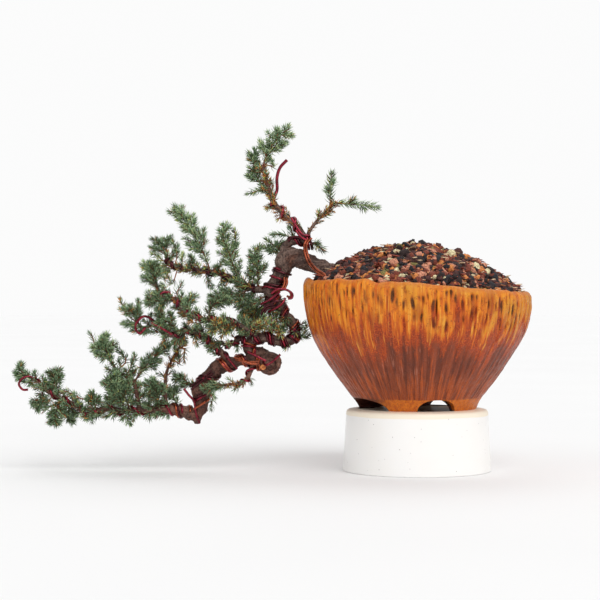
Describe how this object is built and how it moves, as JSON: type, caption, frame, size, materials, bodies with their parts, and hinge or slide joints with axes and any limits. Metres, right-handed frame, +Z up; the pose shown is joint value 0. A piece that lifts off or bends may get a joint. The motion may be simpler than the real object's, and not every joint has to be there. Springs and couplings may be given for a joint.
{
  "type": "cascade juniper bonsai",
  "caption": "Wired cascade juniper bonsai in a glazed footed bowl of grit on a round plinth, trunk spilling over the rim with open sprays of needles.",
  "frame": {"origin": "centre of the plinth's flat underside, which is the lowest point of the part", "axes": "+Z up; +X across the front view to the right, the tree hanging out towards -X; +Y from the front to the back"},
  "size_m": [0.4688, 0.2048, 0.3133],
  "materials": {
    "plinth": "satin",
    "glaze": "gloss",
    "grit": "matte",
    "bark": "matte",
    "wire": "satin",
    "needles": "matte"
  },
  "bodies": {
    "root": {"stand": "plinth", "pot": "glaze", "soil": "grit", "trunk_foot": "bark", "trunk_drop": "bark", "trunk_hook": "bark", "trunk_knot": "bark", "trunk_reach": "bark", "trunk_tail": "bark", "bough_arch": "bark", "bough_leader": "bark", "bough_side": "bark", "bough_second": "bark", "bough_third": "bark", "bough_fourth": "bark", "bough_stub": "bark", "bough_under": "bark", "bough_link": "bark", "bough_low": "bark", "wire_anchor": "wire", "wire_leader": "wire", "wire_drop": "wire", "wire_reach": "wire", "wire_tail": "wire", "mass_crown_tip": "needles", "mass_crown_left": "needles", "mass_side_up": "needles", "mass_side_right": "needles", "mass_side_low": "needles", "mass_knuckle_fan": "needles", "mass_shoulder": "needles", "mass_second_rise": "needles", "mass_second_tall": "needles", "mass_second_tip": "needles", "mass_second_light": "needles", "mass_second_inner": "needles", "mass_second_front": "needles", "mass_third_curl": "needles", "mass_third_tip": "needles", "mass_third_mid": "needles", "mass_third_under": "needles", "mass_third_root": "needles", "mass_fourth_mid": "needles", "mass_fourth_fall": "needles", "mass_fourth_tip": "needles", "mass_drop_fringe": "needles", "mass_low_tip": "needles", "mass_low_rise": "needles", "mass_tail_broad": "needles", "mass_tail_left": "needles", "mass_tail_root": "needles", "mass_tail_inner": "needles", "mass_reach_feather": "needles", "mass_tail_mid": "needles", "mass_tail_brush": "needles", "mass_tail_hang": "needles", "mass_tail_fall": "needles", "mass_tip_hang": "needles", "mass_tail_tip": "needles", "mass_under_spray": "needles"}
  },
  "joints": []
}
